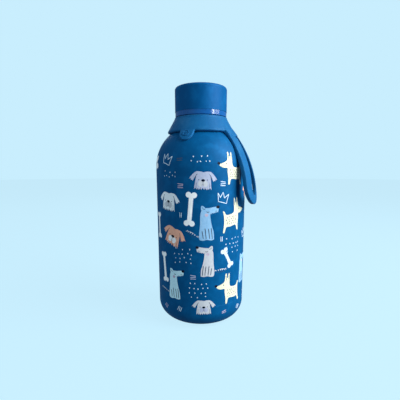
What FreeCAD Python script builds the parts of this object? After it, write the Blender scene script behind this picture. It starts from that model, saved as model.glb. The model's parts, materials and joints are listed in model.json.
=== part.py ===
import FreeCAD, Part
import math
import os

# Insulated children's bottle: a double-walled steel flask with a screw lid, and a soft
# collar round its neck that carries a teardrop loop and a small tab.
# Millimetres. The origin is the centre of the resting ring, +Z runs up the flask's axis,
# the tab faces -Y and the carry loop hangs towards +X.

V = FreeCAD.Vector
Z_AXIS = V(0, 0, 1)

# ---- flask ----
body_radius = 36.5            # powder-coated outside of the straight wall
shell_wall = 0.6
liner_wall = 0.5
vacuum_gap = 2.4              # between the two walls
seam_height = 20.0            # weld between the outer wall and the base cup
seam_groove = 0.15            # small chamfer each side of that weld
base_corner = 15.0            # outer rounding of the base
shoulder_start = 127.5        # weld where the straight walls turn into the domes
shoulder_radius = 33.0
neck_radius = 17.2            # outside of the neck, at the thread's root
neck_fillet = 2.5
rim_height = 181.0            # top of the neck
sheet_fit = 0.1               # between sheet parts that are pushed together
rim_edge = 0.2                # eased outer edge of the drinking rim
bore_radius = 15.9            # inside of the neck, which one drinks through
liner_blend = 3.3             # fillet between the liner's dome and its neck

ring_inner = 19.6             # inside edge of the resting ring
recess_roof = 2.4             # underside of the base cup inside that ring
plate_recess = 0.7            # how far the base plate sits above the table
port_radius = 1.2             # evacuation hole under the seal bead
bead_radius = 2.2
bead_drop = 0.7               # how far the bead hangs below the roof
bead_plug = 0.5               # how far it fills the hole

liner_seam = 22.0             # weld between the liner's wall and the inner bottom
inner_floor = 7.0             # underside of the inner bottom
liner_corner = 12.0
getter_place = V(12, 0, 0)
getter_radius = 4.6
getter_height = 1.8
clip_sheet = 0.4
clip_flange = 1.8             # width of the clip's welded rim
clip_window = 2.5             # radius of the hole below the pellet

# ---- thread ----
thread_depth = 1.0
thread_lead = 8.0             # rise per turn of the two-start thread
thread_starts = 2
thread_turns = 1.25
thread_base_width = 2.5
thread_crest_width = 1.3
thread_start_height = 167.4
thread_sink = 0.3             # how far a ridge is rooted in its wall
thread_clearance = 0.3        # radial, root to crest

# ---- lid ----
lid_radius = 20.5
lid_top = 188.0
lid_edge = 2.0                # rounding of the lid's top edge
lid_wall = 0.6
lid_skirt_bottom = 169.5      # lower edge of the steel lid shell
flange_radius = 20.3          # glossy flange of the insert below the shell
flange_bottom = 165.9
flange_ease = 0.4             # rounded lower edge of the flange
gasket_thickness = 1.6
gasket_fit = 0.05             # above and below the gasket
gasket_lap = 0.2              # how far it reaches past the neck
gasket_ease = 0.3
plug_radius = 13.8
plug_bottom = 174.0
plastic_wall = 1.6
foam_fit = 0.5                # between the foam's edge and the steel shell
foam_edge = 1.4

# ---- silicone collar, tab and loop ----
soft_gap = 0.3                # silicone to its neighbours on other bodies
collar_bore = 18.5
collar_top_radius = 20.95
collar_top = 165.6
collar_edge = 0.8             # rounded upper edge
collar_straight_bottom = 164.4
collar_lip_radius = 26.8
collar_lip_height = 154.2
collar_lip_thickness = 2.2

strap_thickness = 3.0
strap_reach = 46.4            # how far its outer face stands off the axis at its widest
strap_widest_height = 100.0
strap_flare_radius = 88.0     # bend of the outer face from there up to the collar
strap_top = 160.0
loop_tip = 98.8
loop_root_width = 21.6
loop_width = 28.6
slot_top = 151.0
slot_top_width = 4.4
slot_width = 12.0
slot_bottom = 105.8
hinge_radius = 29.0           # where the loop bends against the collar
tab_width = 11.0
tab_bottom = 146.8
tab_thickness = 1.7
tab_sink = 0.9                # how far the tab's face lies inside the strap's surface

# ---- worked out from them ----
shoulder_axis = body_radius - shoulder_radius
shell_inner = body_radius - shell_wall
neck_inner = neck_radius - shell_wall
liner_neck_radius = bore_radius + liner_wall
liner_radius = shell_inner - vacuum_gap
liner_inner = liner_radius - liner_wall
thread_crest = neck_radius + thread_depth
insert_bore = thread_crest + thread_clearance
insert_crest = insert_bore - thread_depth
lid_inner = lid_radius - lid_wall
skirt_radius = lid_inner - sheet_fit
gasket_bottom = rim_height + gasket_fit
gasket_top = gasket_bottom + gasket_thickness
ceiling = gasket_top + gasket_fit
insert_top = ceiling + plastic_wall
plug_inside = plug_radius - plastic_wall
plug_floor = plug_bottom + plastic_wall
flare_centre = (strap_reach - strap_flare_radius, strap_widest_height)
shoulder_centre = (shoulder_axis, shoulder_start)


# ---- helpers ----
def at(radius, height):
    """A point of a half section, in the XZ plane."""
    return V(radius, 0, height)


def line(start, end):
    return Part.makeLine(at(*start), at(*end))


def polar(centre, radius, degrees):
    """(radius, height) of a point on a circle of the half section."""
    angle = math.radians(degrees)
    return centre[0] + radius * math.cos(angle), centre[1] + radius * math.sin(angle)


def arc(centre, radius, from_deg, to_deg):
    middle = (from_deg + to_deg) / 2.0
    through = [at(*polar(centre, radius, degrees)) for degrees in (from_deg, middle, to_deg)]
    return Part.Arc(*through).toShape()


def revolve(edges, turn=360.0):
    """Turns a closed half section about the flask's axis. A part turn is centred on the
    XZ plane."""
    face = Part.Face(Part.Wire(Part.__sortEdges__(edges)))
    if turn < 360.0:
        face.rotate(V(0, 0, 0), Z_AXIS, -turn / 2.0)
    return face.revolve(V(0, 0, 0), Z_AXIS, turn)


def ring(points):
    """A revolved part whose half section is a polygon of (radius, height) corners."""
    return revolve([line(a, b) for a, b in zip(points, points[1:] + points[:1])])


def only_solid(shape):
    """The single solid of a boolean result, with its faces merged."""
    merged = shape.removeSplitter()
    return max(merged.Solids, key=lambda solid: solid.Volume)


def neck_blend(dome_radius, neck, fillet):
    """Centre of the fillet between a dome and the neck, and the angle where it starts."""
    reach = dome_radius + fillet
    across = neck + fillet - shoulder_axis
    centre = (neck + fillet, shoulder_start + math.sqrt(reach ** 2 - across ** 2))
    return centre, math.degrees(math.acos(across / reach))


def domed_neck(outer, inner, top):
    """Dome and neck of one wall, above the straight part. outer and inner are (wall
    radius, neck radius, fillet radius) of its two faces."""
    edges = []
    for radius, neck, fillet in (outer, inner):
        dome = radius - shoulder_axis
        centre, angle = neck_blend(dome, neck, fillet)
        edges.append(arc(shoulder_centre, dome, 0.0, angle))
        edges.append(arc(centre, fillet, 180.0, 180.0 + angle))
        edges.append(line((neck, centre[1]), (neck, top)))
    edges.append(line((outer[1], top), (inner[1], top)))
    edges.append(line((outer[0], shoulder_start), (inner[0], shoulder_start)))
    return revolve(edges)


def thread(root, crest, centre_height):
    """Helical ridges of the two-start thread, from root to crest radius. The root side
    is sunk a little so that the ridge grows out of its wall."""
    sink = thread_sink if crest > root else -thread_sink
    slope = (thread_base_width - thread_crest_width) / 2.0 / (crest - root)
    foot_half = thread_base_width / 2.0 + slope * sink
    crest_half = thread_crest_width / 2.0
    foot = root - sink
    ridges = []
    for start in range(thread_starts):
        helix = Part.makeHelix(thread_lead, thread_lead * thread_turns, root)
        section = Part.makePolygon([
            V(foot, 0, -foot_half),
            V(crest, 0, -crest_half),
            V(crest, 0, crest_half),
            V(foot, 0, foot_half),
            V(foot, 0, -foot_half),
        ])
        ridge = Part.Wire(helix.Edges).makePipeShell([section], True, True)
        ridge.rotate(V(0, 0, 0), Z_AXIS, start * 360.0 / thread_starts)
        ridge.translate(V(0, 0, centre_height))
        ridges.append(ridge)
    return ridges


# ---- flask ----
def outer_wall():
    """Straight outer tube, chamfered at the weld to the base cup."""
    return ring([(shell_inner, seam_height), (body_radius - seam_groove, seam_height),
                 (body_radius, seam_height + seam_groove), (body_radius, shoulder_start),
                 (shell_inner, shoulder_start)])


def outer_neck():
    """Spun shoulder and neck of the outer wall, with the rolled thread."""
    wall = domed_neck((body_radius, neck_radius, neck_fillet),
                      (shell_inner, neck_inner, neck_fillet + shell_wall),
                      rim_height - liner_wall)
    ridges = thread(neck_radius, thread_crest, thread_start_height)
    return only_solid(wall.multiFuse(ridges))


def base_cup():
    """Rounded base with the resting ring and a recess for the base plate."""
    corner_r = body_radius - base_corner
    centre = (corner_r, base_corner)
    step = ring_inner + shell_wall
    roof = recess_roof + shell_wall
    return revolve([
        line((body_radius - seam_groove, seam_height), (body_radius, seam_height - seam_groove)),
        line((body_radius, seam_height - seam_groove), (body_radius, base_corner)),
        arc(centre, base_corner, 0, -90),
        line((corner_r, 0), (ring_inner, 0)),
        line((ring_inner, 0), (ring_inner, recess_roof)),
        line((ring_inner, recess_roof), (port_radius, recess_roof)),
        line((port_radius, recess_roof), (port_radius, roof)),
        line((port_radius, roof), (step, roof)),
        line((step, roof), (step, shell_wall)),
        line((step, shell_wall), (corner_r, shell_wall)),
        arc(centre, base_corner - shell_wall, -90, 0),
        line((shell_inner, base_corner), (shell_inner, seam_height)),
        line((shell_inner, seam_height), (body_radius - seam_groove, seam_height)),
    ])


def base_plate():
    """Shallow steel dish pressed into the base cup's recess."""
    edge = ring_inner - sheet_fit
    top = plate_recess + shell_wall
    return ring([(0, plate_recess), (edge, plate_recess), (edge, recess_roof),
                 (edge - shell_wall, recess_roof), (edge - shell_wall, top), (0, top)])


def vacuum_seal():
    """Glass bead that closes the evacuation hole, a plug with a low dome under it."""
    sphere = (bead_radius ** 2 + bead_drop ** 2) / (2 * bead_drop)
    spread = math.degrees(math.asin(bead_radius / sphere))
    plug_top = recess_roof + bead_plug
    return revolve([
        line((0, plug_top), (port_radius, plug_top)),
        line((port_radius, plug_top), (port_radius, recess_roof)),
        line((port_radius, recess_roof), (bead_radius, recess_roof)),
        arc((0, recess_roof - bead_drop + sphere), sphere, -90 + spread, -90),
        line((0, recess_roof - bead_drop), (0, plug_top)),
    ])


def liner_wall_tube():
    """Straight wall of the drinking vessel."""
    return ring([(liner_inner, liner_seam), (liner_radius, liner_seam),
                 (liner_radius, shoulder_start), (liner_inner, shoulder_start)])


def liner_neck():
    """Dome and neck of the drinking vessel, flared over the top of the outer neck."""
    wall = domed_neck((liner_radius, liner_neck_radius, liner_blend),
                      (liner_inner, bore_radius, liner_blend + liner_wall), rim_height)
    shelf = rim_height - liner_wall
    flare_root = (bore_radius + liner_neck_radius) / 2.0
    rim = ring([(flare_root, shelf), (neck_radius, shelf),
                (neck_radius, rim_height - rim_edge), (neck_radius - rim_edge, rim_height),
                (flare_root, rim_height)])
    return only_solid(wall.fuse(rim))


def inner_bottom():
    """Rounded bottom of the drinking vessel."""
    centre = (liner_radius - liner_corner, inner_floor + liner_corner)
    upper_floor = inner_floor + liner_wall
    return revolve([
        line((liner_radius, liner_seam), (liner_radius, centre[1])),
        arc(centre, liner_corner, 0, -90),
        line((centre[0], inner_floor), (0, inner_floor)),
        line((0, inner_floor), (0, upper_floor)),
        line((0, upper_floor), (centre[0], upper_floor)),
        arc(centre, liner_corner - liner_wall, -90, 0),
        line((liner_inner, centre[1]), (liner_inner, liner_seam)),
        line((liner_inner, liner_seam), (liner_radius, liner_seam)),
    ])


def getter():
    """Pellet in the vacuum that takes up stray gas."""
    pellet = Part.makeCylinder(getter_radius, getter_height,
                               V(0, 0, inner_floor - getter_height))
    return pellet.translated(getter_place)


def getter_clip():
    """Pressed hat that holds the pellet against the inner bottom, with a window below."""
    inside = getter_radius + sheet_fit
    outside = inside + clip_sheet
    flange = outside + clip_flange
    floor = inner_floor - getter_height
    clip = ring([(clip_window, floor - clip_sheet), (outside, floor - clip_sheet),
                 (outside, inner_floor - clip_sheet), (flange, inner_floor - clip_sheet),
                 (flange, inner_floor), (inside, inner_floor), (inside, floor),
                 (clip_window, floor)])
    return clip.translated(getter_place)


# ---- lid ----
def lid_shell():
    """Steel cap with a rounded top edge."""
    corner = (lid_radius - lid_edge, lid_top - lid_edge)
    under = lid_top - lid_wall
    return revolve([
        line((lid_inner, lid_skirt_bottom), (lid_radius, lid_skirt_bottom)),
        line((lid_radius, lid_skirt_bottom), (lid_radius, corner[1])),
        arc(corner, lid_edge, 0, 90),
        line((corner[0], lid_top), (0, lid_top)),
        line((0, lid_top), (0, under)),
        line((0, under), (corner[0], under)),
        arc(corner, lid_edge - lid_wall, 90, 0),
        line((lid_inner, corner[1]), (lid_inner, lid_skirt_bottom)),
    ])


def lid_insert():
    """Flange, threaded skirt, ceiling and hollow plug, moulded in one piece."""
    flange_edge = (flange_radius - flange_ease, flange_bottom + flange_ease)
    corners = [(flange_radius, lid_skirt_bottom), (skirt_radius, lid_skirt_bottom),
               (skirt_radius, insert_top), (plug_inside, insert_top),
               (plug_inside, plug_floor), (0, plug_floor), (0, plug_bottom),
               (plug_radius, plug_bottom), (plug_radius, ceiling), (insert_bore, ceiling),
               (insert_bore, flange_bottom), (flange_edge[0], flange_bottom)]
    edges = [line(a, b) for a, b in zip(corners, corners[1:])]
    edges.append(arc(flange_edge, flange_ease, -90, 0))
    edges.append(line((flange_radius, flange_edge[1]), corners[0]))
    half_pitch = thread_lead / thread_starts / 2.0
    ridges = thread(insert_bore, insert_crest, thread_start_height + half_pitch)
    return only_solid(revolve(edges).multiFuse(ridges))


def lid_foam():
    """Insulation between the insert and the steel cap, and down inside the plug."""
    edge = lid_inner - foam_fit
    top = lid_top - lid_wall
    return ring([(0, plug_floor), (plug_inside, plug_floor), (plug_inside, insert_top),
                 (edge, insert_top), (edge, top - foam_edge), (edge - foam_edge, top), (0, top)])


def lid_gasket():
    """Flat ring between the neck's rim and the insert, with eased corners."""
    inner = plug_radius + soft_gap
    outer = neck_radius + gasket_lap
    ease = gasket_ease
    return ring([(inner + ease, gasket_bottom), (outer - ease, gasket_bottom),
                 (outer, gasket_bottom + ease), (outer, gasket_top - ease),
                 (outer - ease, gasket_top), (inner + ease, gasket_top),
                 (inner, gasket_top - ease), (inner, gasket_bottom + ease)])


# ---- silicone collar, tab and loop ----
def dome_height(radius):
    """Height of the flask's shoulder at a radius, lifted by the soft gap."""
    reach = shoulder_radius + soft_gap
    return shoulder_start + math.sqrt(reach ** 2 - (radius - shoulder_axis) ** 2)


def shoulder_clearance():
    """The flask's dome grown by the soft gap, which the silicone is cut back from."""
    reach = shoulder_radius + soft_gap
    top_angle = neck_blend(shoulder_radius, neck_radius, neck_fillet)[1]
    top = polar(shoulder_centre, reach, top_angle)
    return revolve([
        line((0, shoulder_start), (shoulder_axis + reach, shoulder_start)),
        arc(shoulder_centre, reach, 0, top_angle),
        line(top, (0, top[1])),
        line((0, top[1]), (0, shoulder_start)),
    ])


def strap_band(bottom, width, thickness):
    """The flared strap down to a height, over a sector that a piece of the given width
    needs, a little longer and wider than the outline that trims it."""
    spare_length = 4.0
    spare_turn = 2.0

    def flare_angle(height):
        return math.degrees(math.asin((height - flare_centre[1]) / strap_flare_radius))

    top_deg = flare_angle(strap_top)
    low_deg = flare_angle(bottom - spare_length)
    inner_flare = strap_flare_radius - thickness
    section = [
        arc(flare_centre, strap_flare_radius, low_deg, top_deg),
        line(polar(flare_centre, strap_flare_radius, top_deg),
             polar(flare_centre, inner_flare, top_deg)),
        arc(flare_centre, inner_flare, top_deg, low_deg),
        line(polar(flare_centre, inner_flare, low_deg),
             polar(flare_centre, strap_flare_radius, low_deg)),
    ]
    half_turn = math.degrees(math.asin(width / 2.0 / neck_radius)) + spare_turn
    return revolve(section, 2.0 * half_turn)


def along_x(face):
    """Runs an outline out along +X, from inside the strap to well past it."""
    return face.translated(V(bore_radius, 0, 0)).extrude(V(2.0 * body_radius, 0, 0))


def teardrop(top, top_width, bottom, end_width):
    """Outline in the YZ plane: two sides that spread downwards into a round end. The
    sides touch the end circle and pass through the top corners."""
    end_radius = end_width / 2.0
    centre = bottom + end_radius
    rise = top - centre
    reach = math.hypot(rise, top_width / 2.0)
    tilt = math.atan2(top_width / 2.0, rise) + math.acos(end_radius / reach)
    touch = V(0, end_radius * math.sin(tilt), centre + end_radius * math.cos(tilt))
    mirror = V(0, -touch.y, touch.z)
    left = V(0, -top_width / 2.0, top)
    right = V(0, top_width / 2.0, top)
    return Part.Face(Part.Wire([
        Part.makeLine(left, right),
        Part.makeLine(right, touch),
        Part.Arc(touch, V(0, 0, bottom), mirror).toShape(),
        Part.makeLine(mirror, left),
    ]))


def rounded_slot():
    """The finger slot: a teardrop with a small round top and a wide round bottom."""
    wide = slot_width / 2.0
    narrow = slot_top_width / 2.0
    low = slot_bottom + wide
    high = slot_top - narrow
    tilt = math.acos((wide - narrow) / (high - low))
    corners = []
    for radius, centre in ((narrow, high), (wide, low)):
        corners.append(V(0, radius * math.sin(tilt), centre + radius * math.cos(tilt)))
    upper, lower = corners
    upper_left = V(0, -upper.y, upper.z)
    lower_left = V(0, -lower.y, lower.z)
    return Part.Face(Part.Wire([
        Part.Arc(upper_left, V(0, 0, slot_top), upper).toShape(),
        Part.makeLine(upper, lower),
        Part.Arc(lower, V(0, 0, slot_bottom), lower_left).toShape(),
        Part.makeLine(lower_left, upper_left),
    ]))


def hinge_point():
    """Where the loop bends, on the strap's outer face, and the face's angle there."""
    angle = math.acos((hinge_radius - flare_centre[0]) / strap_flare_radius)
    return polar(flare_centre, strap_flare_radius, math.degrees(angle)), angle


def beyond_hinge(gap):
    """Everything outside the bending plane, which crosses the strap at right angles, or
    outside that plane moved down the strap by a gap."""
    (x, z), angle = hinge_point()
    size = 2.0 * (strap_top - loop_tip)
    block = Part.makeBox(size, size, size, V(0, -size / 2.0, -size / 2.0))
    block.rotate(V(0, 0, 0), V(0, 1, 0), 90.0 - math.degrees(angle))
    return block.translated(V(x + gap * math.sin(angle), 0, z - gap * math.cos(angle)))


def loop_blank():
    """The loop and its root in one, before they part at the bending plane."""
    outline = along_x(teardrop(strap_top, loop_root_width, loop_tip, loop_width))
    band = strap_band(loop_tip, loop_width, strap_thickness)
    return band.common(outline).cut(along_x(rounded_slot()))


def carry_loop():
    free = loop_blank().common(beyond_hinge(soft_gap / 2.0))
    return only_solid(free.cut(shoulder_clearance()))


def tab():
    """U-shaped tab that hangs from the collar's lip at the front."""
    half = tab_width / 2.0
    low = tab_bottom + half
    left = V(0, -half, strap_top)
    right = V(0, half, strap_top)
    outline = Part.Face(Part.Wire([
        Part.makeLine(left, right),
        Part.makeLine(right, V(0, half, low)),
        Part.Arc(V(0, half, low), V(0, 0, tab_bottom), V(0, -half, low)).toShape(),
        Part.makeLine(V(0, -half, low), left),
    ]))
    band = strap_band(tab_bottom, tab_width, tab_thickness).translated(V(-tab_sink, 0, 0))
    blank = band.common(along_x(outline))
    blank.rotate(V(0, 0, 0), Z_AXIS, -90)
    return blank


def collar_ring():
    """The collar itself: a straight top, a skirt that spreads to the lip, and a seat that
    follows the shoulder."""
    lip_angle = math.atan2(collar_lip_radius - collar_top_radius,
                           collar_straight_bottom - collar_lip_height)
    lip = (collar_lip_radius, collar_lip_height)
    seat_outer_r = collar_lip_radius - collar_lip_thickness * math.cos(lip_angle)
    seat_inner_r = neck_radius + neck_fillet + 0.5
    seat_outer = (seat_outer_r, dome_height(seat_outer_r))
    seat_inner = (seat_inner_r, dome_height(seat_inner_r))

    def seat_angle(point):
        return math.degrees(math.atan2(point[1] - shoulder_start, point[0] - shoulder_axis))

    neck_foot = (collar_bore, neck_blend(shoulder_radius, neck_radius, neck_fillet)[0][1])
    edge_centre = (collar_top_radius - collar_edge, collar_top - collar_edge)
    return revolve([
        line(neck_foot, (collar_bore, collar_top)),
        line((collar_bore, collar_top), (edge_centre[0], collar_top)),
        arc(edge_centre, collar_edge, 90, 0),
        line((collar_top_radius, edge_centre[1]), (collar_top_radius, collar_straight_bottom)),
        line((collar_top_radius, collar_straight_bottom), lip),
        line(lip, seat_outer),
        arc(shoulder_centre, shoulder_radius + soft_gap, seat_angle(seat_outer),
            seat_angle(seat_inner)),
        line(seat_inner, neck_foot),
    ])


def collar():
    """Collar, loop root and tab, moulded in one piece."""
    inside = Part.makeCylinder(collar_bore + 1.0, rim_height)
    root = loop_blank().cut(beyond_hinge(-soft_gap / 2.0))
    grown = [piece.cut(inside).cut(shoulder_clearance()) for piece in (root, tab())]
    return only_solid(collar_ring().multiFuse(grown))


PARTS = {
    "outer_wall": outer_wall,
    "outer_neck": outer_neck,
    "base_cup": base_cup,
    "base_plate": base_plate,
    "vacuum_seal": vacuum_seal,
    "liner_wall": liner_wall_tube,
    "liner_neck": liner_neck,
    "inner_bottom": inner_bottom,
    "getter": getter,
    "getter_clip": getter_clip,
    "collar": collar,
    "carry_loop": carry_loop,
    "lid_shell": lid_shell,
    "lid_insert": lid_insert,
    "lid_foam": lid_foam,
    "lid_gasket": lid_gasket,
}

os.makedirs("parts", exist_ok=True)
for name, build in PARTS.items():
    shape = build()
    shape.exportStep(f"parts/{name}.step")
    box = shape.BoundBox
    print(f"{name}: solids {len(shape.Solids)}, valid {shape.isValid()}, "
          f"volume {shape.Volume:.1f}, z {box.ZMin:.2f} to {box.ZMax:.2f}")
(hinge_x, hinge_z), _ = hinge_point()
print(f"loop hinge at x {hinge_x:.3f}, z {hinge_z:.3f}")
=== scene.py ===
import bpy
import bmesh
import json
import math
import random
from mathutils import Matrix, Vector
from mathutils.geometry import delaunay_2d_cdt


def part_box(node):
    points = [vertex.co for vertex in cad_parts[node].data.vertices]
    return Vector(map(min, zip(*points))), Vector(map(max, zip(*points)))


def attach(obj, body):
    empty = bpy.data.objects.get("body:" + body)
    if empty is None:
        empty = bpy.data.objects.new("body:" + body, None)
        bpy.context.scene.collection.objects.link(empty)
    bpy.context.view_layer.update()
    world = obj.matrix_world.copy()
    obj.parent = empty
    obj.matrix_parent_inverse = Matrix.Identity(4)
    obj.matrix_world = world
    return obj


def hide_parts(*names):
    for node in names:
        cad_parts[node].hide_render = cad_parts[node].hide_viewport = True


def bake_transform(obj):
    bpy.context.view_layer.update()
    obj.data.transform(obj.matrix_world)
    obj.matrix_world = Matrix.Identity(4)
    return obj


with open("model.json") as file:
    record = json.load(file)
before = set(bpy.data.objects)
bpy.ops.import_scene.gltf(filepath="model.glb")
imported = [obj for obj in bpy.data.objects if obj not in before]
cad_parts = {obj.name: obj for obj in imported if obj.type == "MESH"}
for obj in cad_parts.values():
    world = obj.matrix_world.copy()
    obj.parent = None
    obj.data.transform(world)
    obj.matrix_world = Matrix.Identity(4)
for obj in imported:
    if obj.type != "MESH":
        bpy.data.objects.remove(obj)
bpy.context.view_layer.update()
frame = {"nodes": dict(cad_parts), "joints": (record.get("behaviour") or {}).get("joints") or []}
nodes = frame["nodes"]

MM = 0.001

# ---------------------------------------------------------------- sizes, in millimetres
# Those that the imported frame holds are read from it; the rest repeat the design's.
body_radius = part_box("outer_wall")[1][0] / MM
collar_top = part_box("collar")[1][2] / MM
tab_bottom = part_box("collar")[0][2] / MM
loop_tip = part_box("carry_loop")[0][2] / MM
loop_half_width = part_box("carry_loop")[1][1] / MM

shoulder_start = 127.5         # where the straight wall turns into the shoulder
shoulder_radius = 33.0
shoulder_axis = body_radius - shoulder_radius
base_corner = 15.0             # rounding of the foot

collar_bore = 18.5
collar_top_radius = 20.95
collar_straight_bottom = 164.4
collar_lip = (26.8, 154.2)     # radius and height
seat_gap = 0.3                 # between the silicone and the shoulder
neck_foot = (18.5, 159.1)      # radius and height

strap_thickness = 3.0
strap_edge = 0.5               # rounding along the limbs
strap_reach = 46.4             # how far the outer face stands off the axis at its widest
strap_widest_height = 100.0
strap_flare = 88.0             # radius of its curve, seen from the side
strap_top = 160.0
loop_root_half = 10.8
slot_top = 151.0
slot_top_radius = 2.2
slot_radius = 6.0
slot_bottom = 105.8
tab_half_width = 5.5
tab_thickness = 1.7
tab_sink = 0.9                 # how far the tab's face lies inside the strap's
smooth_limit = math.radians(50)  # edges that turn more than this stay sharp


# ---------------------------------------------------------------- mesh helpers
def mesh_object(name, points, faces, material=None, smooth=True):
    """A mesh piece from points in millimetres."""
    mesh = bpy.data.meshes.new(name)
    mesh.from_pydata([Vector(p) * MM for p in points], [], faces)
    mesh.validate()
    mesh.update()
    piece = bpy.data.objects.new(name, mesh)
    bpy.context.scene.collection.objects.link(piece)
    if material:
        mesh.materials.append(material)
    if smooth:
        mesh.polygons.foreach_set("use_smooth", [True] * len(mesh.polygons))
        mesh.set_sharp_from_angle(angle=smooth_limit)
    return piece


def outward(piece):
    """Makes every face of a closed mesh point out."""
    work = bmesh.new()
    work.from_mesh(piece.data)
    bmesh.ops.recalc_face_normals(work, faces=work.faces)
    work.to_mesh(piece.data)
    work.free()


def joined(name, parts):
    """One mesh object from several, which are deleted."""
    work = bmesh.new()
    for part in parts:
        work.from_mesh(part.data)
    mesh = bpy.data.meshes.new(name)
    work.to_mesh(mesh)
    work.free()
    whole = bpy.data.objects.new(name, mesh)
    bpy.context.scene.collection.objects.link(whole)
    for part in parts:
        bpy.data.objects.remove(part, do_unlink=True)
    return whole


def with_modifiers(piece):
    """Applies the piece's modifiers to its mesh."""
    graph = bpy.context.evaluated_depsgraph_get()
    final = bpy.data.meshes.new_from_object(piece.evaluated_get(graph))
    piece.modifiers.clear()
    old = piece.data
    piece.data = final
    bpy.data.meshes.remove(old)
    return piece


def tube_of_loops(loops, closed):
    """Faces that join a list of equal rings of points, capped at both ends if open."""
    size = len(loops[0])
    points = [p for ring in loops for p in ring]
    faces = []
    spans = len(loops) if closed else len(loops) - 1
    for i in range(spans):
        a = i * size
        b = ((i + 1) % len(loops)) * size
        for k in range(size):
            m = (k + 1) % size
            faces.append((a + k, a + m, b + m, b + k))
    if not closed:
        faces.append(tuple(range(size))[::-1])
        last = (len(loops) - 1) * size
        faces.append(tuple(last + k for k in range(size)))
    return points, faces


# ---------------------------------------------------------------- materials
def srgb(red, green, blue):
    """Linear colour from 8-bit display values."""
    def linear(value):
        c = value / 255.0
        return c / 12.92 if c <= 0.04045 else ((c + 0.055) / 1.055) ** 2.4
    return (linear(red), linear(green), linear(blue), 1.0)


def mixed(colour, other, share):
    """A colour that far from the first towards the second."""
    return tuple(a + (b - a) * share for a, b in zip(colour, other))


class Shader:
    """A Principled material with helpers for noise-driven colour, roughness and bump."""

    def __init__(self, name):
        self.material = bpy.data.materials.new(name)
        self.material.use_nodes = True
        self.tree = self.material.node_tree
        self.surface = self.tree.nodes["Principled BSDF"]
        self.place = self.tree.nodes.new("ShaderNodeTexCoord").outputs["Object"]

    def set(self, **values):
        for key, value in values.items():
            self.surface.inputs[key.replace("_", " ")].default_value = value
        return self

    def stretched(self, scale):
        mapping = self.tree.nodes.new("ShaderNodeMapping")
        mapping.inputs["Scale"].default_value = scale
        self.tree.links.new(self.place, mapping.inputs["Vector"])
        return mapping.outputs["Vector"]

    def noise(self, scale, detail=3.0, rough=0.5, stretch=None):
        node = self.tree.nodes.new("ShaderNodeTexNoise")
        node.inputs["Scale"].default_value = scale
        node.inputs["Detail"].default_value = detail
        node.inputs["Roughness"].default_value = rough
        place = self.stretched(stretch) if stretch else self.place
        self.tree.links.new(place, node.inputs["Vector"])
        return node.outputs["Fac"]

    def ramp(self, factor, stops):
        node = self.tree.nodes.new("ShaderNodeValToRGB")
        ramp = node.color_ramp
        while len(ramp.elements) < len(stops):
            ramp.elements.new(0.5)
        for element, (at, colour) in zip(ramp.elements, stops):
            element.position = at
            element.color = colour
        self.tree.links.new(factor, node.inputs["Fac"])
        return node.outputs["Color"]

    def colour(self, factor, stops):
        self.tree.links.new(self.ramp(factor, stops), self.surface.inputs["Base Color"])
        return self

    def roughness(self, factor, low, high):
        node = self.tree.nodes.new("ShaderNodeMapRange")
        node.inputs["To Min"].default_value = low
        node.inputs["To Max"].default_value = high
        node.inputs["From Min"].default_value = 0.3
        node.inputs["From Max"].default_value = 0.7
        self.tree.links.new(factor, node.inputs["Value"])
        self.tree.links.new(node.outputs["Result"], self.surface.inputs["Roughness"])
        return self

    def bump(self, factor, distance, strength=1.0):
        node = self.tree.nodes.new("ShaderNodeBump")
        node.inputs["Strength"].default_value = strength
        node.inputs["Distance"].default_value = distance
        self.tree.links.new(factor, node.inputs["Height"])
        before = self.surface.inputs["Normal"]
        if before.links:
            self.tree.links.new(before.links[0].from_socket, node.inputs["Normal"])
        self.tree.links.new(node.outputs["Normal"], before)
        return self


def powder_coat(name, colour):
    """Matte powder coat: fine orange peel, faint mottling and a broad soft sheen."""
    light = mixed(colour, srgb(30, 150, 225), 0.08)
    dark = mixed(colour, srgb(0, 30, 80), 0.08)
    coat = Shader(name).set(IOR=1.45, Specular_IOR_Level=0.13, Metallic=0.12,
                            Specular_Tint=(0.55, 0.86, 1.0, 1.0))
    coat.colour(coat.noise(160.0, 4.0), [(0.32, dark), (0.50, colour), (0.68, light)])
    coat.roughness(coat.noise(420.0, 2.0), 0.46, 0.56)
    coat.bump(coat.noise(1500.0, 2.0), 0.00003, 0.55)
    coat.bump(coat.noise(300.0, 1.0), 0.00006, 0.25)
    return coat.material


def silicone(name, colour):
    """Soft matte silicone, with a satin grain and the slight bloom of handling."""
    light = mixed(colour, srgb(110, 190, 240), 0.07)
    dark = mixed(colour, srgb(0, 40, 100), 0.08)
    rubber = Shader(name).set(IOR=1.42, Specular_IOR_Level=0.18, Metallic=0.06, Sheen_Weight=0.04,
                              Sheen_Roughness=0.45, Subsurface_Weight=0.04,
                              Subsurface_Scale=0.002)
    rubber.colour(rubber.noise(95.0, 5.0, 0.6), [(0.30, dark), (0.52, colour), (0.74, light)])
    rubber.roughness(rubber.noise(210.0, 3.0), 0.52, 0.66)
    rubber.bump(rubber.noise(2400.0, 2.0), 0.00002, 0.5)
    return rubber.material


def moulded_gloss(name, colour):
    """Glossy moulded plastic with faint flow waves."""
    plastic = Shader(name).set(IOR=1.49, Coat_Weight=0.35, Coat_Roughness=0.05)
    plastic.colour(plastic.noise(60.0, 3.0), [(0.35, mixed(colour, srgb(0, 20, 60), 0.12)),
                                             (0.65, colour)])
    plastic.roughness(plastic.noise(140.0, 2.0), 0.12, 0.20)
    plastic.bump(plastic.noise(90.0, 1.0), 0.00008, 0.2)
    return plastic.material


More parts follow.
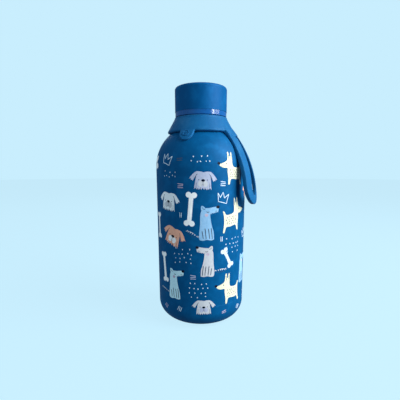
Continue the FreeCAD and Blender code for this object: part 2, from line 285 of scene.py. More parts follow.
def brushed_steel(name, turned):
    """Stainless steel brushed round the axis, or turned for flat discs."""
    stretch = (1.0, 1.0, 60.0) if turned else (1.0, 1.0, 1.0)
    steel = Shader(name).set(Metallic=1.0, IOR=2.5)
    lines = steel.noise(240.0 if turned else 900.0, 4.0, 0.6, stretch)
    steel.colour(lines, [(0.3, srgb(176, 176, 174)), (0.7, srgb(206, 206, 203))])
    steel.roughness(lines, 0.24, 0.38)
    steel.bump(lines, 0.00002, 0.5)
    return steel.material


def ink(name, colour, grain=0.10):
    """Printed ink: slightly uneven cover, as from a screen, with the coat's fine peel."""
    paper = mixed(colour, srgb(255, 255, 255), grain)
    worn = mixed(colour, srgb(40, 80, 130), grain * 1.2)
    film = Shader(name).set(IOR=1.45, Specular_IOR_Level=0.12)
    film.colour(film.noise(700.0, 5.0, 0.65), [(0.30, worn), (0.48, colour), (0.70, paper)])
    film.roughness(film.noise(500.0, 2.0), 0.50, 0.62)
    film.bump(film.noise(1500.0, 2.0), 0.00003, 0.5)
    return film.material


blue_coat = powder_coat("blue_powder_coat", srgb(1, 80, 132))
blue_lid = powder_coat("blue_lid_coat", srgb(1, 78, 134))
blue_silicone = silicone("blue_silicone", srgb(2, 86, 138))
blue_gloss = moulded_gloss("blue_gloss_plastic", srgb(5, 84, 152))
steel_wall = brushed_steel("steel_drawn", True)
steel_disc = brushed_steel("steel_pressed", False)

foam_white = Shader("foam_white").set(IOR=1.3)
foam_white.colour(foam_white.noise(1200.0, 3.0), [(0.35, srgb(216, 212, 200)),
                                                 (0.6, srgb(240, 238, 230))])
foam_white.roughness(foam_white.noise(800.0), 0.8, 0.95)
foam_white.bump(foam_white.noise(1400.0, 4.0), 0.0001, 0.6)

milky_silicone = Shader("milky_silicone").set(IOR=1.42, Subsurface_Weight=0.2,
                                              Subsurface_Scale=0.002)
milky_silicone.colour(milky_silicone.noise(300.0), [(0.35, srgb(214, 219, 222)),
                                                    (0.65, srgb(232, 235, 236))])
milky_silicone.roughness(milky_silicone.noise(400.0), 0.42, 0.55)

seal_glass = Shader("seal_glass").set(IOR=1.55)
seal_glass.colour(seal_glass.noise(900.0), [(0.3, srgb(30, 32, 38)), (0.7, srgb(52, 56, 62))])
seal_glass.roughness(seal_glass.noise(500.0), 0.1, 0.22)

getter_alloy = Shader("getter_alloy").set(Metallic=0.8)
getter_alloy.colour(getter_alloy.noise(1500.0, 5.0), [(0.3, srgb(70, 70, 72)),
                                                      (0.7, srgb(112, 112, 110))])
getter_alloy.roughness(getter_alloy.noise(900.0), 0.6, 0.8)

finishes = {
    "outer_wall": blue_coat,
    "outer_neck": blue_coat,
    "base_cup": blue_coat,
    "lid_shell": blue_lid,
    "lid_insert": blue_gloss,
    "lid_foam": foam_white.material,
    "lid_gasket": milky_silicone.material,
    "base_plate": steel_disc,
    "liner_wall": steel_wall,
    "liner_neck": steel_wall,
    "inner_bottom": steel_disc,
    "getter_clip": steel_disc,
    "getter": getter_alloy.material,
    "vacuum_seal": seal_glass.material,
}
for node, finish in finishes.items():
    mesh = nodes[node].data
    mesh.materials.clear()
    mesh.materials.append(finish)


# ---------------------------------------------------------------- silicone collar and loop
def strap_line(height):
    """Radius of the strap's outer face at a height, and the angle of its normal."""
    angle = math.asin((height - strap_widest_height) / strap_flare)
    return strap_reach - strap_flare * (1.0 - math.cos(angle)), angle


def clear_of_shoulder(radius, height):
    """Moves a point that would lie in the shoulder out to the gap above it."""
    away = Vector((radius - shoulder_axis, height - shoulder_start))
    nearest = shoulder_radius + seat_gap
    if height > shoulder_start and away.length < nearest:
        away *= nearest / away.length
    return shoulder_axis + away.x, shoulder_start + away.y


def strap_point(across, height, depth, sink=0.0):
    """A point of the strap that hangs towards +X: across it, at a height of its outer
    face, and a depth below that face. The tab's face is sunk inside the strap's."""
    radius, angle = strap_line(height)
    radius, height = clear_of_shoulder(radius - depth * math.cos(angle),
                                       height - depth * math.sin(angle))
    return Vector((math.sqrt(radius ** 2 - across ** 2) - sink, across, height))


def front(point):
    """Turns a point of the +X strap to the front, where the tab is."""
    return Vector((point.y, -point.x, point.z))


def teardrop_side(start, centre_z, radius, count):
    """Right half of a teardrop outline: from start down a tangent line, then round the
    circle at the bottom to its lowest point."""
    across, top = start
    reach = math.hypot(top - centre_z, across)
    tilt = math.atan2(across, top - centre_z) + math.acos(radius / reach)
    touch = (radius * math.sin(tilt), centre_z + radius * math.cos(tilt))
    line = [(across + (touch[0] - across) * i / count, top + (touch[1] - top) * i / count)
            for i in range(count)]
    arc = []
    for i in range(count + 1):
        angle = tilt + (math.pi - tilt) * i / count
        arc.append((radius * math.sin(angle), centre_z + radius * math.cos(angle)))
    return line + arc


def rounded_section(half_width, thickness, edge):
    """Closed ring of (across, depth) round a strap's section, with rounded corners."""
    steps = 4
    edge = min(edge, half_width * 0.9, thickness * 0.49)
    corners = [(half_width - edge, edge, -90), (half_width - edge, thickness - edge, 0),
               (edge - half_width, thickness - edge, 90), (edge - half_width, edge, 180)]
    ring = []
    for x, depth, start in corners:
        for step in range(steps + 1):
            angle = math.radians(start + 90.0 / steps * step)
            ring.append((x + edge * math.cos(angle), depth + edge * math.sin(angle)))
    return ring


def loop_limbs():
    """The two limbs and the round end of the carry loop, one sweep from root to root."""
    steps = 30
    outer = teardrop_side((loop_root_half, strap_top), loop_tip + loop_half_width,
                          loop_half_width, steps)
    inner = teardrop_side((slot_top_radius, slot_top - slot_top_radius),
                          slot_bottom + slot_radius, slot_radius, steps)
    pairs = list(zip(outer, inner))
    pairs += [((-a[0], a[1]), (-b[0], b[1])) for a, b in reversed(pairs[:-1])]
    rings = []
    for (ay, az), (by, bz) in pairs:
        half = math.hypot(ay - by, az - bz) / 2.0
        middle = ((ay + by) / 2.0, (az + bz) / 2.0)
        along = ((ay - by) / 2.0 / half, (az - bz) / 2.0 / half)
        rings.append([strap_point(middle[0] + along[0] * x, middle[1] + along[1] * x, depth)
                      for x, depth in rounded_section(half, strap_thickness, strap_edge)])
    return mesh_object("limbs", *tube_of_loops(rings, closed=False))


def plate(outline, thickness, sink=0.0, turn=None):
    """A slab of the strap over an outline of (across, height) points."""
    flat = [Vector(p) for p in outline]
    count = len(flat)
    low_z = min(p.y for p in flat)
    high_z = max(p.y for p in flat)
    wide = max(abs(p.x) for p in flat)
    inner = []
    step = 0.8
    z = low_z + step
    while z < high_z:
        x = -wide + step
        while x < wide:
            inner.append(Vector((x, z)))
            x += step
        z += step
    found = delaunay_2d_cdt(flat + inner, [], [list(range(count))], 1, 1e-5)
    places, triangles = found[0], found[2]
    used = sorted({i for t in triangles for i in t})
    index = {old: new for new, old in enumerate(used)}
    top = [strap_point(places[i].x, places[i].y, 0.0, sink) for i in used]
    bottom = [strap_point(places[i].x, places[i].y, thickness, sink) for i in used]
    size = len(used)
    faces = [tuple(index[i] for i in t) for t in triangles]
    faces += [tuple(index[i] + size for i in reversed(t)) for t in triangles]
    edges = dict.fromkeys((a, b) for t in triangles for a, b in zip(t, t[1:] + t[:1]))
    for a, b in edges:
        if (b, a) not in edges:
            faces.append((index[b], index[a], index[a] + size, index[b] + size))
    points = top + bottom
    if turn:
        points = [turn(p) for p in points]
    return mesh_object("plate", points, faces)


def tab_outline(half, bottom, top, steps=24):
    """Straight sides with a round end, as (across, height)."""
    centre = bottom + half
    arc = []
    for i in range(steps + 1):
        angle = math.pi * i / steps
        arc.append((half * math.cos(angle), centre - half * math.sin(angle)))
    return arc + [(-half, top), (half, top)]


def arc_points(centre, radius, start, end, steps):
    """Points round an arc, from a start angle to an end angle in degrees."""
    points = []
    for i in range(steps + 1):
        angle = math.radians(start + (end - start) * i / steps)
        points.append((centre[0] + radius * math.cos(angle),
                       centre[1] + radius * math.sin(angle)))
    return points


def collar_profile():
    """Closed half section of the collar: bore, rounded top, cone, lip and seat."""
    top_edge = 0.8
    lip_edge = 0.9
    cone = math.degrees(math.atan2(collar_lip[0] - collar_top_radius,
                                   collar_straight_bottom - collar_lip[1]))
    lip_centre = (collar_lip[0] - lip_edge * 1.25, collar_lip[1] + 0.15)
    seat = shoulder_radius + seat_gap
    seat_low = 49.9
    seat_high = 59.9
    points = [(collar_bore, neck_foot[1]), (collar_bore, collar_top)]
    points += arc_points((collar_top_radius - top_edge, collar_top - top_edge), top_edge,
                         90, 0, 5)
    points += [(collar_top_radius, collar_straight_bottom)]
    points += arc_points(lip_centre, lip_edge, cone, -90 - cone, 8)
    points += arc_points((shoulder_axis, shoulder_start), seat, seat_low, seat_high, 10)
    return points


def collar_body():
    """The collar's profile carried round the neck."""
    sides = 180
    profile = collar_profile()
    rings = []
    for i in range(sides):
        angle = 2 * math.pi * i / sides
        rings.append([(r * math.cos(angle), r * math.sin(angle), z) for r, z in profile])
    return mesh_object("ring", *tube_of_loops(rings, closed=True))


def silicone_moulding():
    """Collar, loop and tab fused into one skin, with the small fillets of a moulding."""
    root_side = [(loop_root_half, strap_top), (8.5, 152.6), (2.6, slot_top - 0.2)]
    root = root_side + [(-across, height) for across, height in reversed(root_side)]
    voxel = 0.36
    parts = [
        collar_body(),
        loop_limbs(),
        plate(root, strap_thickness),
        plate(tab_outline(tab_half_width, tab_bottom + 0.1, strap_top), tab_thickness,
              tab_sink, front),
    ]
    for part in parts:
        outward(part)
    whole = joined("silicone_collar_and_loop", parts)
    remesh = whole.modifiers.new("remesh", "REMESH")
    remesh.mode = "VOXEL"
    remesh.voxel_size = voxel * MM
    soften = whole.modifiers.new("soften", "SMOOTH")
    soften.factor = 0.5
    soften.iterations = 4
    with_modifiers(whole)
    whole.data.materials.clear()
    whole.data.materials.append(blue_silicone)
    whole.data.polygons.foreach_set("use_smooth", [True] * len(whole.data.polygons))
    return whole


def relief(name, outline, height, steps=3):
    """A low rounded pad raised from the tab's face, over a convex outline."""
    centre = Vector((sum(p[0] for p in outline) / len(outline),
                     sum(p[1] for p in outline) / len(outline)))
    buried = 0.4
    rounding = 0.45                # share of the pad's width that rounds off
    rings = [[front(strap_point(x, z, buried, tab_sink)) for x, z in outline]]
    for i in range(steps + 1):
        angle = math.pi / 2 * i / (steps + 1)
        share = 1.0 - rounding * (1.0 - math.cos(angle))
        rings.append([front(strap_point(centre.x + (x - centre.x) * share,
                                        centre.y + (z - centre.y) * share,
                                        -height * math.sin(angle), tab_sink))
                      for x, z in outline])
    piece = mesh_object(name, *tube_of_loops(rings, closed=False))
    outward(piece)
    return piece


def ellipse(x, y, rx, ry, turn=0.0, count=18):
    """Outline of an ellipse about (x, y), turned by some degrees."""
    tilt = math.radians(turn)
    points = []
    for i in range(count):
        angle = 2 * math.pi * i / count
        u = rx * math.cos(angle)
        v = ry * math.sin(angle)
        points.append((x + u * math.cos(tilt) - v * math.sin(tilt),
                       y + u * math.sin(tilt) + v * math.cos(tilt)))
    return points


def tab_emblem():
    """Moulded rim and a plain paw print on the tab."""
    middle = tab_bottom + 4.9
    slope = 0.8                    # heights shrink on the sloping face
    rim_radius = 2.3
    bead = 0.34                    # half the width of the rim
    lift = 0.06
    pad_height = 0.22
    around = 48
    sides = 8
    parts = []
    rim = []
    for i in range(around):
        angle = 2 * math.pi * i / around
        ring = []
        for k in range(sides):
            turn = 2 * math.pi * k / sides
            radius = rim_radius + bead * math.cos(turn)
            ring.append(front(strap_point(radius * math.cos(angle),
                                          middle + radius * slope * math.sin(angle),
                                          -lift - bead * math.sin(turn), tab_sink)))
        rim.append(ring)
    parts.append(mesh_object("rim", *tube_of_loops(rim, closed=True)))
    outward(parts[0])
    pads = [(0.0, -0.42, 0.72, 0.52), (-0.98, 0.32, 0.32, 0.36), (-0.35, 0.82, 0.32, 0.38),
            (0.35, 0.82, 0.32, 0.38), (0.98, 0.32, 0.32, 0.36)]
    for x, z, rx, ry in pads:
        parts.append(relief("pad", ellipse(x, middle + z, rx, ry, count=16), pad_height))
    emblem = joined("tab_emblem", parts)
    emblem.data.materials.append(blue_silicone)
    emblem.data.polygons.foreach_set("use_smooth", [True] * len(emblem.data.polygons))
    return emblem


moulding = silicone_moulding()
hinge = next(j for j in frame["joints"] if j["name"] == "loop_swing")
hinge_height = hinge["pos_m"][2] / MM
bend_above = 2.0               # a point of the strap's face is taken this far above the hinge
bend_below = 7.5               # and another this far below it
bend_from = strap_point(0.0, hinge_height + bend_above, 0.0)
bend_to = strap_point(0.0, hinge_height - bend_below, 0.0)
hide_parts("collar", "carry_loop")
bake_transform(moulding)

emblem = tab_emblem()
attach(emblem, "neck_collar")


# ---------------------------------------------------------------- printed decoration
def wall_point(angle, run, lift):
    """A point over the flask's wall: angle from the front in degrees, run in millimetres
    up the wall (it equals the height on the straight part), lift off the coat."""
    if run > shoulder_start:
        bend = (run - shoulder_start) / shoulder_radius
        radius = shoulder_axis + (shoulder_radius + lift) * math.cos(bend)
        height = shoulder_start + (shoulder_radius + lift) * math.sin(bend)
    elif run < base_corner:
        bend = (base_corner - run) / base_corner
        radius = body_radius - base_corner + (base_corner + lift) * math.cos(bend)
        height = base_corner - (base_corner + lift) * math.sin(bend)
    else:
        radius = body_radius + lift
        height = run
    turn = math.radians(angle)
    return (radius * math.sin(turn), -radius * math.cos(turn), height)


def smooth_outline(points, closed=True, steps=5):
    """Catmull-Rom curve through a few points."""
    count = len(points)
    curve = []
    spans = count if closed else count - 1
    for i in range(spans):
        if closed:
            p0, p1, p2, p3 = (points[(i + k - 1) % count] for k in range(4))
        else:
            p0, p1, p2, p3 = (points[min(max(i + k - 1, 0), count - 1)] for k in range(4))
        for step in range(steps):
            t = step / steps
            curve.append(tuple(
                0.5 * (2 * p1[a] + (p2[a] - p0[a]) * t
                       + (2 * p0[a] - 5 * p1[a] + 4 * p2[a] - p3[a]) * t ** 2
                       + (3 * p1[a] - p0[a] - 3 * p2[a] + p3[a]) * t ** 3)
                for a in (0, 1)))
    if not closed:
        curve.append(points[-1])
    return curve


def stroke(points, width):
    """Outline of a ribbon along a curve, narrower at its two ends."""
    path = smooth_outline(points, closed=False, steps=4)
    half = width / 2.0
    end_share = 0.55
    left = []
    right = []
    for i, (x, y) in enumerate(path):
        ax, ay = path[max(i - 1, 0)]
        bx, by = path[min(i + 1, len(path) - 1)]
        length = math.hypot(bx - ax, by - ay) or 1.0
        nx, ny = -(by - ay) / length, (bx - ax) / length
        taper = 1.0 if 0 < i < len(path) - 1 else end_share
        left.append((x + nx * half * taper, y + ny * half * taper))
        right.append((x - nx * half * taper, y - ny * half * taper))
    return left + right[::-1]


def fringe(start, end, tufts, depth):
    """Ragged run of tufts from start to end, hanging to the right of the way walked."""
    length = math.hypot(end[0] - start[0], end[1] - start[1])
    ux, uy = (end[0] - start[0]) / length, (end[1] - start[1]) / length
    nx, ny = uy, -ux
    points = []
    for i in range(tufts):
        for share, drop in ((0.0, 0.0), (0.42, 1.0), (0.72, 0.92)):
            along = (i + share) / tufts * length
            fall = drop * depth * (0.82 + 0.18 * math.cos(i * 2.3))
            points.append((start[0] + ux * along + nx * fall,
                           start[1] + uy * along + ny * fall))
    points.append(end)
    return points


def inset(outline, distance):
    """The outline moved inwards a little, along its normals."""
    area = sum(a[0] * b[1] - b[0] * a[1] for a, b in zip(outline, outline[1:] + outline[:1]))
    side = 1.0 if area > 0 else -1.0
    moved = []
    count = len(outline)
    for i, (x, y) in enumerate(outline):
        ax, ay = outline[i - 1]
        bx, by = outline[(i + 1) % count]
        length = math.hypot(bx - ax, by - ay) or 1.0
        moved.append((x - side * (by - ay) / length * distance,
                      y + side * (bx - ax) / length * distance))
    return moved


def shaggy_head(fur, shade, muzzle):
    """A generic long-haired dog's face, seen from the front."""
    crown = [(-6.3, -6.2), (-6.0, -2.0), (-5.3, 2.4), (-5.0, 5.2), (-2.8, 6.7), (0.2, 6.3),
             (2.8, 6.9), (5.0, 5.4), (5.4, 2.2), (6.0, -2.2), (6.4, -6.2)]
    face = smooth_outline(crown, closed=False, steps=4)
    face += fringe((6.4, -6.2), (-6.3, -6.2), 7, 1.3)[1:-1]
    shapes = [(fur, face, 0)]
    for side in (-1, 1):
        ear = smooth_outline([(2.8, 6.8), (5.4, 6.6), (8.2, 4.2), (10.4, 1.2)], False, 4)
        ear += fringe((10.4, 1.2), (7.6, -0.4), 2, 0.9)[1:-1]
        ear += smooth_outline([(7.6, -0.4), (6.6, 1.8), (5.2, 3.9), (3.6, 5.0)], False, 4)
        shapes.append((fur, [(side * x, y) for x, y in ear], 1))
        line = stroke([(4.4, 5.0), (5.4, 3.6), (6.2, 1.9)], 0.34)
        shapes.append((shade, [(side * x, y) for x, y in line], 2))
        shapes.append((muzzle, ellipse(side * 1.8, -1.9, 1.8, 2.2), 1))
        shapes.append((shade, ellipse(side * 3.1, 0.9, 0.32, 0.4), 2))
        for k, (x, top) in enumerate(((4.7, -1.2), (3.4, -3.6), (1.5, -4.4))):
            lock = stroke([(side * x, top), (side * (x + 0.2), (top - 6.2) / 2),
                           (side * (x - 0.1), -6.4)], 0.2)
            shapes.append((muzzle if k % 2 else shade, lock, 2))
    shapes.append(("nose", ellipse(0.0, 0.5, 1.35, 0.9), 2))
    shapes.append((shade, stroke([(0.0, -0.3), (0.0, -1.5), (0.05, -2.5)], 0.26), 2))
    shapes.append((shade, stroke([(-0.9, -3.0), (0.0, -2.6), (0.9, -3.0)], 0.26), 2))
    return shapes


def sitting_dog(fur, shade, cheek):
    """A generic dog that sits in profile and looks to the right."""
    back = [(3.9, -12.3), (1.6, -12.9), (-1.6, -12.4), (-4.6, -13.0), (-7.2, -12.0),
            (-7.3, -7.0), (-6.7, -1.0), (-6.6, 5.0), (-5.9, 9.0), (-3.6, 11.2), (0.6, 11.6),
            (4.6, 12.3), (6.9, 12.0), (7.3, 10.0), (6.7, 8.0)]
    body = smooth_outline(back, closed=False, steps=4)
    body += fringe((6.7, 8.0), (0.9, 6.6), 5, 0.9)[1:-1]
    body += smooth_outline([(0.9, 6.6), (1.2, 3.0), (2.2, -2.0), (3.6, -7.0), (3.9, -12.3)],
                           False, 4)[:-1]
    shapes = [(fur, body, 0)]
    ear = smooth_outline([(-5.6, 9.6), (-5.9, 12.6), (-4.4, 13.0), (-2.8, 11.0)], True, 4)
    shapes.append((fur, ear, 1))
    shapes.append((shade, stroke([(-4.9, 12.0), (-4.4, 10.9), (-3.0, 10.6)], 0.36), 2))
    shapes.append((cheek, ellipse(-1.9, 6.3, 1.35, 1.15), 1))
    shapes.append((shade, stroke([(-1.9, 9.0), (-1.0, 8.3), (0.2, 8.8)], 0.42), 2))
    shapes.append((shade, stroke([(4.4, 9.2), (5.3, 9.0), (6.1, 9.6)], 0.26), 2))
    shapes.append(("nose", ellipse(6.8, 12.1, 1.35, 1.1, 10), 2))
    for x, top, foot in ((-5.2, -5.5, -11.6), (-3.0, -3.6, -11.9), (-0.4, -3.9, -11.7),
                         (1.7, -3.4, -11.9)):
        leg = stroke([(x, top), (x + 0.5, (top + foot) / 2), (x + 0.9, foot)], 0.55)
        shapes.append((shade, leg, 2))
    return shapes


def leafy_tail(fur, shade):
    """The sitting dog's feathered tail, printed a little apart from it."""
    upper = smooth_outline([(5.0, -1.4), (1.8, 1.2), (-1.8, 2.7), (-5.0, 2.4)], False, 4)
    lower = fringe((-5.0, 2.4), (5.0, -1.4), 6, -1.5)[1:-1]
    shapes = [(fur, upper + lower, 0)]
    shapes.append((shade, stroke([(-3.4, 1.0), (0.0, -0.6), (3.2, -1.4)], 0.22), 1))
    return shapes


def spotted_pup(fur, rim, shade):
    """A generic pup in profile, with upright ears, looking to the left."""
    outline = smooth_outline([
        (-11.6, 3.0), (-8.2, 4.3), (-5.0, 5.8), (-3.9, 8.6), (-3.5, 12.2), (-2.5, 12.6),
        (-1.9, 9.2), (-1.0, 9.2), (-0.5, 12.0), (0.5, 12.3), (0.7, 8.0), (0.6, 4.2),
        (1.6, 1.6), (5.0, 0.7), (8.8, 0.9), (10.6, 3.6), (11.6, 3.6), (11.0, 0.0),
        (11.0, -4.6), (11.7, -8.6), (12.4, -12.3), (11.2, -12.6), (9.4, -8.7), (5.6, -8.6),
        (1.4, -8.0), (-0.8, -8.6), (-1.8, -12.1), (-3.2, -12.2), (-3.3, -7.6), (-4.2, -2.6),
        (-4.4, 0.2), (-7.4, 0.4), (-10.4, 1.5)], steps=4)
    shapes = [(rim, outline, 0)]
    belly = smooth_outline([(-9.8, 2.6), (-4.6, 4.9), (-0.2, 5.4), (0.2, 1.8), (3.4, -0.3),
                            (9.6, -0.2), (10.0, -4.4), (9.4, -7.6), (4.6, -7.7), (-1.6, -6.8),
                            (-2.8, -2.2), (-3.4, 1.4), (-7.6, 1.3)], steps=4)
    shapes.append((fur, belly, 1))
    draw = random.Random(5)
    for row in range(4):
        for column in range(5):
            x = -1.4 + column * 2.3 + (row % 2) * 0.9 + draw.uniform(-0.35, 0.35)
            y = -1.4 - row * 1.65 + draw.uniform(-0.3, 0.3)
            if x < 9.2:
                shapes.append((shade, ellipse(x, y, 0.40, 0.54, draw.uniform(-60, 60), 10), 2))
    for x in (-2.9, -0.1):
        shapes.append((shade, stroke([(x, 7.0), (x + 0.1, 9.0), (x + 0.1, 10.8)], 0.36), 2))
    shapes.append((shade, ellipse(-5.4, 3.6, 0.42, 0.5, 0, 10), 2))
    shapes.append(("nose", ellipse(-11.9, 3.7, 1.15, 1.05), 2))
    return shapes


def bone(fur, rim, half_length, half_width):
    """A plain bone with two knobs at each end."""
    knob = half_width * 1.28
    apart = half_width * 1.2
    waist = math.degrees(math.acos((half_width - apart) / knob))
    notch = math.degrees(math.acos((0.15 - apart) / knob))
    corner = []
    for step in range(10):
        angle = math.radians(-waist + (notch + waist) * step / 9)
        corner.append((apart + knob * math.cos(angle),
                       half_length - knob + knob * math.sin(angle)))
    mirrored = [(-x, y) for x, y in reversed(corner)]
    top = corner + mirrored
    outline = top + [(-x, -y) for x, y in top]
    return [(rim, outline, 0), (fur, inset(outline, 0.3 * min(1.0, half_width / 1.6)), 1)]


def crown(line):
    """A small hand-drawn crown, a closed line with three points."""
    corners = [(-3.3, -3.0), (-4.6, 3.0), (-2.2, 0.1), (-0.6, 4.2), (1.3, 0.2), (4.6, 3.4),
               (3.8, -3.6)]
    shapes = []
    for a, b in zip(corners, corners[1:] + corners[:1]):
        shapes.append((line, stroke([a, ((a[0] + b[0]) / 2, (a[1] + b[1]) / 2 + 0.12), b],
                                    0.52), 0))
        shapes.append((line, ellipse(a[0], a[1], 0.27, 0.27, 0, 8), 0))
    return shapes


def dots(colour, counts, seed):
    """A loose patch of small dabs: how many stand in each row, from the top down."""
    patch_width = 19.0
    row_pitch = 3.6
    draw = random.Random(seed)
    shapes = []
    for row, count in enumerate(counts):
        pitch = patch_width / (count + 0.6)
        for column in range(count):
            x = (column - (count - 1) / 2) * pitch + draw.uniform(-0.9, 0.9)
            y = ((len(counts) - 1) / 2 - row) * row_pitch + draw.uniform(-0.7, 0.7)
            shapes.append((colour, ellipse(x, y, 0.40, 0.54, draw.uniform(-40, 30), 10), 0))
    return shapes


def dashes(colour, count, length=4.6):
    """A few parallel brush dashes, one above another."""
    pitch = 1.35
    shapes = []
    for i in range(count):
        y = (i - (count - 1) / 2) * pitch
        lean = 0.25 * math.sin(i * 2.1)
        shapes.append((colour, stroke([(-length / 2, y - lean), (0, y),
                                       (length / 2, y + lean)], 0.54), 0))
    return shapes


inks = {
    "cream": ink("ink_cream", srgb(216, 218, 190)),
    "white": ink("ink_white", srgb(200, 220, 236)),
    "lilac": ink("ink_lilac", srgb(170, 180, 206)),
    "grey": ink("ink_grey", srgb(238, 247, 252)),
    "sky": ink("ink_sky", srgb(134, 182, 220)),
    "teal": ink("ink_teal", srgb(196, 236, 248)),
    "terracotta": ink("ink_terracotta", srgb(236, 176, 150)),
    "bone": ink("ink_bone", srgb(246, 250, 252)),
    "pink": ink("ink_pink", srgb(184, 172, 194)),
    "pale": ink("ink_pale", srgb(192, 198, 206)),
    "brown": ink("ink_brown", srgb(66, 78, 98), 0.04),
    "shade": ink("ink_shade", srgb(52, 66, 88), 0.04),
    "rust": ink("ink_rust", srgb(132, 84, 84), 0.04),
    "nose": ink("ink_nose", srgb(14, 22, 40), 0.02),
}
sheets = {name: ([], []) for name in inks}


def stamp(shapes, angle, run, turn=0.0, size=1.0, flip=False):
    """Prints a motif: its shapes are cut into small triangles, wrapped on the wall and
    given the thickness of an ink film, whose underside is sunk in the coat."""
    step = 1.6                     # spacing of the points inside an outline
    film = 0.035
    layer = 0.02                   # each overprinted level stands this much higher
    sunk = -0.05
    tilt = math.radians(turn)
    for colour, outline, level in shapes:
        placed = []
        for x, y in outline:
            if flip:
                x = -x
            x, y = x * size, y * size
            placed.append(Vector((x * math.cos(tilt) - y * math.sin(tilt),
                                  x * math.sin(tilt) + y * math.cos(tilt))))
        low = Vector((min(p.x for p in placed), min(p.y for p in placed)))
        high = Vector((max(p.x for p in placed), max(p.y for p in placed)))
        grid = []
        for i in range(1, int((high.x - low.x) / step) + 1):
            for k in range(1, int((high.y - low.y) / step) + 1):
                grid.append(Vector((low.x + i * step, low.y + k * step)))
        found = delaunay_2d_cdt(placed + grid, [], [list(range(len(placed)))], 1, 1e-4)
        places, triangles = found[0], found[2]
        points, faces = sheets[colour]
        used = sorted({i for t in triangles for i in t})
        index = {old: new for new, old in enumerate(used)}
        first = len(points)
        count = len(used)
        for lift in (film + layer * level, sunk):
            for i in used:
                at = run + places[i].y
                radius = math.hypot(*wall_point(0, at, 0)[:2])
                points.append(wall_point(angle + math.degrees(places[i].x / radius), at, lift))
        rim = set()
        for t in triangles:
            a, b, c = (index[i] + first for i in t)
            faces.append((a, b, c))
            faces.append((c + count, b + count, a + count))
            rim |= {(a, b), (b, c), (c, a)}
        for a, b in sorted(rim):
            if (b, a) not in rim:
                faces.append((b, a, a + count, b + count))


def print_side(turned):
    """Half of the decoration; the pattern repeats on the far side of the bottle."""
    def put(shapes, angle, run, *args, **words):
        stamp(shapes, angle + turned, run, *args, **words)

    put(bone("bone", "white", 5.2, 1.7), -50, 131, 12)
    put(crown("white"), -22, 133, -14)
    put(dashes("brown", 2), -3, 133)
    put(dots("white", (3, 5), 3), 23, 133)
    put(spotted_pup("cream", "cream", "brown"), 61, 126.5, size=0.94)
    put(dots("white", (3, 5), 8), -17, 122.5, size=0.86)
    put(shaggy_head("lilac", "shade", "pale"), 25, 117.5, -3)
    put(dashes("pink", 3), -2, 114)
    put(dashes("white", 3, 4.2), 49, 115.5)
    put(shaggy_head("grey", "shade", "pale"), -20, 101.5, -6, 1.05)
    put(bone("bone", "white", 12.8, 1.75), 10, 97, -5)
    put(crown("white"), 49, 105, -10)
    put(sitting_dog("sky", "shade", "pink"), 32, 86.5)
    put(leafy_tail("pale", "shade"), 12, 77.5, -6)
    put(dashes("white", 2, 4.2), -2, 92.5, 84, 0.9)
    put(spotted_pup("cream", "cream", "brown"), 68, 92, 4, flip=True)
    put(bone("bone", "white", 10.5, 1.5), -43, 82, 3)
    put(shaggy_head("terracotta", "rust", "bone"), -14, 75, -20, 1.1)
    put(dashes("white", 2, 4.2), 48, 74, 88, 0.9)
    put(dots("white", (4, 5, 4, 3), 14), 66, 68)
    put(dots("white", (3, 5, 4, 4), 21), 0, 61)
    put(bone("bone", "white", 12.4, 1.5), -30, 49, 6)
    put(sitting_dog("pale", "shade", "pink"), 28, 57, 0, 0.93, flip=True)
    put(leafy_tail("pale", "shade"), 47, 48.5, -20, flip=True)
    put(bone("white", "white", 8.6, 1.35), 57, 58.5, 28)
    put(sitting_dog("teal", "shade", "pink"), -10, 37, 0, 0.96)
    put(leafy_tail("pale", "shade"), -30, 29, 12)
    put(dashes("lilac", 3, 4.4), 13, 44.5)
    put(dots("white", (4, 5, 4, 3), 33), 19, 34)
    put(spotted_pup("cream", "cream", "brown"), 60, 33)
    put(shaggy_head("pale", "shade", "lilac"), 26, 19.5, 0, 0.92)
    put(dashes("pink", 3, 4.0), -28, 16, 60)
    put(dashes("white", 3, 4.0), -5, 17, 70)
    put(dashes("pink", 2, 4.0), 53, 14, 10)
    put(dashes("white", 3, 4.0), 79, 14, 60)
    # the column between the two halves
    put(dots("sky", (4, 5), 41), 101, 133)
    put(shaggy_head("terracotta", "rust", "bone"), 103, 110, 8)
    put(crown("white"), 95, 75, 8)
    put(bone("bone", "white", 12.0, 1.8), 112, 83, 14)
    put(sitting_dog("sky", "shade", "pink"), 92, 46, 0, 0.95)
    put(leafy_tail("pale", "shade"), 113, 38, -14, flip=True)
    put(dashes("white", 2, 4.4), 118, 62)
    put(dots("white", (3, 5, 4), 52), 108, 20)


print_side(0)
print_side(180)
for name, (points, faces) in sheets.items():
    piece = mesh_object(f"print_{name}", points, faces, inks[name])
    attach(piece, "flask")


# ---------------------------------------------------------------- stage, lights and camera
background = srgb(201, 238, 254)


def stage_disc(name, radius, height):
    """A flat round sheet."""
    steps = 96
    points = [(radius * math.cos(2 * math.pi * i / steps),
               radius * math.sin(2 * math.pi * i / steps), height) for i in range(steps)]
    return mesh_object(name, points, [tuple(range(steps))], smooth=False)


def glow(name, colour, strength):
    """A material that gives off an even light, for the pale surroundings."""
    material = bpy.data.materials.new(name)
    material.use_nodes = True
    tree = material.node_tree
    tree.nodes.clear()
    light = tree.nodes.new("ShaderNodeEmission")
    light.inputs["Color"].default_value = colour
    light.inputs["Strength"].default_value = strength
    out = tree.nodes.new("ShaderNodeOutputMaterial")
    tree.links.new(light.outputs[0], out.inputs["Surface"])
    return material


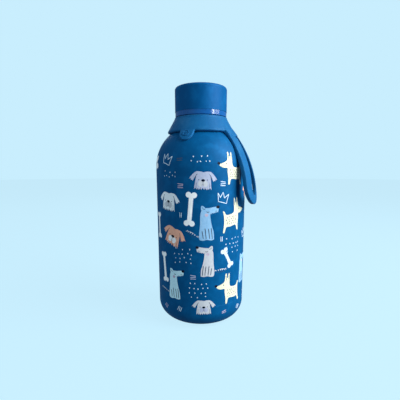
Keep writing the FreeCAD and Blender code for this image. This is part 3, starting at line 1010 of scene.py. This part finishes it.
floor_glow = 0.945             # the rest of its brightness is reflected light
floor_reflects = 0.06
floor_radius = 4000.0
floor_level = -0.05            # just under the base
floor = stage_disc("floor", floor_radius, floor_level)
floor_paint = glow("floor_paint", background, floor_glow)
matte = floor_paint.node_tree.nodes.new("ShaderNodeBsdfDiffuse")
matte.inputs["Color"].default_value = mixed((0.0, 0.0, 0.0, 1.0), background, floor_reflects)
both = floor_paint.node_tree.nodes.new("ShaderNodeAddShader")
emission = floor_paint.node_tree.nodes["Emission"]
output = floor_paint.node_tree.nodes["Material Output"]
floor_paint.node_tree.links.new(emission.outputs[0], both.inputs[0])
floor_paint.node_tree.links.new(matte.outputs[0], both.inputs[1])
floor_paint.node_tree.links.new(both.outputs[0], output.inputs["Surface"])
floor.data.materials.append(floor_paint)
floor.visible_diffuse = False
floor.visible_glossy = False

backdrop_radius = 5.0          # metres
backdrop_mesh = bpy.data.meshes.new("backdrop")
work = bmesh.new()
bmesh.ops.create_uvsphere(work, u_segments=48, v_segments=24, radius=backdrop_radius)
work.to_mesh(backdrop_mesh)
work.free()
backdrop = bpy.data.objects.new("backdrop", backdrop_mesh)
bpy.context.scene.collection.objects.link(backdrop)
backdrop_mesh.materials.append(glow("backdrop_paint", background, 1.0))
backdrop.visible_diffuse = False
backdrop.visible_glossy = False
backdrop.visible_shadow = False

world_colour = (0.60, 0.82, 1.0, 1.0)
world_strength = 0.25
world = bpy.data.worlds.new("studio")
bpy.context.scene.world = world
world.use_nodes = True
world.node_tree.nodes["Background"].inputs["Color"].default_value = world_colour
world.node_tree.nodes["Background"].inputs["Strength"].default_value = world_strength


def softbox(name, azimuth, elevation, distance, size, power, colour, target, mirrored=True):
    """A rectangular soft light that looks at the target from a direction. One that isn't
    mirrored leaves no highlight."""
    turn = math.radians(azimuth)
    rise = math.radians(elevation)
    lamp = bpy.data.lights.new(name, "AREA")
    lamp.shape = "RECTANGLE"
    lamp.size, lamp.size_y = size
    lamp.energy = power
    lamp.color = colour
    box = bpy.data.objects.new(name, lamp)
    away = Vector((math.sin(turn) * math.cos(rise), -math.cos(turn) * math.cos(rise),
                   math.sin(rise)))
    box.location = target + away * distance
    box.rotation_euler = away.to_track_quat("Z", "Y").to_euler()
    box.visible_glossy = mirrored
    bpy.context.scene.collection.objects.link(box)


view_azimuth = 22.5            # the camera stands this far round from the tab towards the loop
middle = Vector((0, 0, 0.11))
foot = Vector((0, 0, 0.04))
softbox("key", azimuth=view_azimuth + 68, elevation=32, distance=0.9, size=(0.6, 0.6),
        power=15.6, colour=(1.0, 1.0, 0.98), target=middle)
softbox("window", azimuth=view_azimuth + 56, elevation=4, distance=1.1, size=(0.16, 0.5),
        power=2.4, colour=(0.95, 0.98, 1.0), target=middle)
softbox("low", azimuth=view_azimuth + 72, elevation=6, distance=1.0, size=(0.7, 0.3),
        power=3.0, colour=(0.90, 0.96, 1.0), target=foot, mirrored=False)
softbox("fill", azimuth=view_azimuth - 66, elevation=20, distance=1.3, size=(1.6, 1.4),
        power=8.0, colour=(0.84, 0.95, 1.0), target=middle, mirrored=False)
softbox("back", azimuth=view_azimuth + 190, elevation=35, distance=1.1, size=(0.7, 0.7),
        power=2.0, colour=(0.92, 0.96, 1.0), target=middle)

camera_distance = 0.265        # metres from the bottle's axis
camera_height = 0.1265
camera_pitch = 11.8            # degrees down
focal_share = 0.7845           # focal length, as a share of the picture's width
shift_across = -0.00225        # lens shift, as shares of the same width
shift_up = 0.08475

lens = bpy.data.cameras.new("camera")
lens.sensor_width = 36.0
lens.lens = focal_share * lens.sensor_width
lens.shift_x = shift_across
lens.shift_y = shift_up
lens.clip_start = 0.01
camera = bpy.data.objects.new("camera", lens)
turn = math.radians(view_azimuth)
camera.location = (camera_distance * math.sin(turn), -camera_distance * math.cos(turn),
                   camera_height)
camera.rotation_euler = (math.radians(90 - camera_pitch), 0, turn)
bpy.context.scene.collection.objects.link(camera)
bpy.context.scene.camera = camera
bpy.context.scene.view_settings.view_transform = "Standard"
